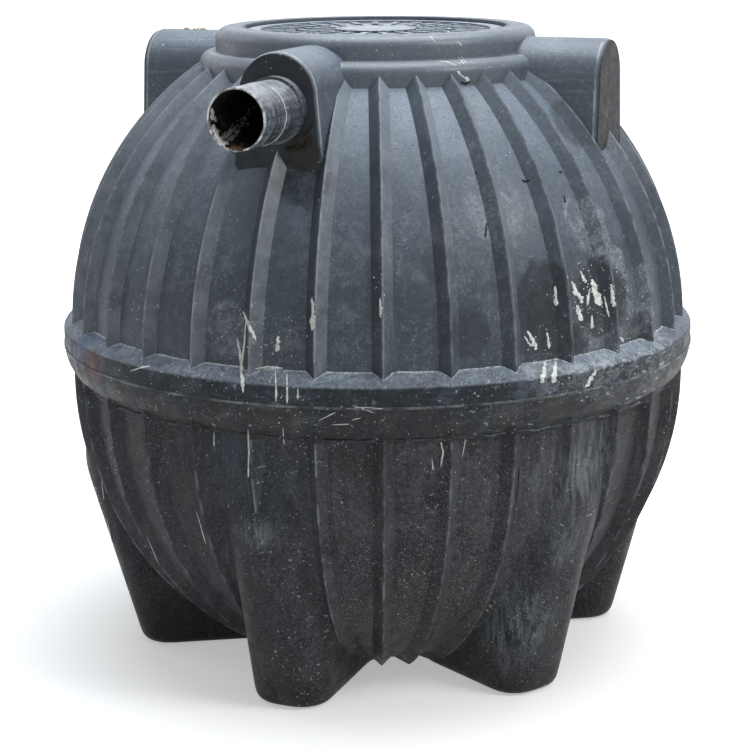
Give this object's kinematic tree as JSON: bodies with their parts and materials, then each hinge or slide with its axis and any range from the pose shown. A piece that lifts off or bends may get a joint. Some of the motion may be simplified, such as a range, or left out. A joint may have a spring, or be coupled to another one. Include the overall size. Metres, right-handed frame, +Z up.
{
  "type": "septic tank",
  "caption": "Round ribbed moulded septic tank with a belt round its middle, a neck with a lift-off lid, arched housings with an inlet and an outlet pipe, and moulded legs.",
  "frame": {"origin": "on the floor under the middle of the tank", "axes": "+Z up, the inlet pipe points along -Y and the outlet pipe along +Y"},
  "size_m": [1.4488, 1.4706, 1.4255],
  "materials": {
    "upper_plastic": "weathered black moulded polyethylene with a blue-grey sheen, dust and scuffs",
    "lower_plastic": "black moulded polyethylene with soil stains and pale speckles",
    "belt_plastic": "black moulded polyethylene, scratched, with a dusty top slope",
    "pipe_plastic": "black pipe with a worn pale mouth and deposits inside",
    "lid_plastic": "black moulded lid with rows of tread bars, dusty"
  },
  "bodies": {
    "tank": {"belt_1": "belt_plastic", "belt_2": "belt_plastic", "belt_3": "belt_plastic", "belt_4": "belt_plastic", "bottom": "lower_plastic", "inlet_pipe": "pipe_plastic", "leg_1": "lower_plastic", "leg_2": "lower_plastic", "leg_3": "lower_plastic", "leg_4": "lower_plastic", "leg_5": "lower_plastic", "leg_6": "lower_plastic", "lower_shell_1": "lower_plastic", "lower_shell_2": "lower_plastic", "lower_shell_3": "lower_plastic", "lower_shell_4": "lower_plastic", "lower_shell_5": "lower_plastic", "lower_shell_6": "lower_plastic", "lower_shell_7": "lower_plastic", "lower_shell_8": "lower_plastic", "neck_rim_1": "upper_plastic", "neck_rim_2": "upper_plastic", "neck_rim_3": "upper_plastic", "neck_rim_4": "upper_plastic", "neck_ring_1": "upper_plastic", "neck_ring_2": "upper_plastic", "neck_ring_3": "upper_plastic", "neck_ring_4": "upper_plastic", "outlet_pipe": "pipe_plastic", "pipe_housing_1": "upper_plastic", "pipe_housing_2": "upper_plastic", "pipe_housing_3": "upper_plastic", "pipe_housing_4": "upper_plastic", "upper_shell_1": "upper_plastic", "upper_shell_2": "upper_plastic", "upper_shell_3": "upper_plastic", "upper_shell_4": "upper_plastic", "upper_shell_5": "upper_plastic", "upper_shell_6": "upper_plastic", "upper_shell_7": "upper_plastic", "upper_shell_8": "upper_plastic"},
    "lid": {"lid": "lid_plastic"}
  },
  "joints": [
    {"name": "lid_lift", "type": "slide", "parent": "tank", "child": "lid", "axis": [0, 0, 1], "range_m": [0, 0.12]}
  ]
}
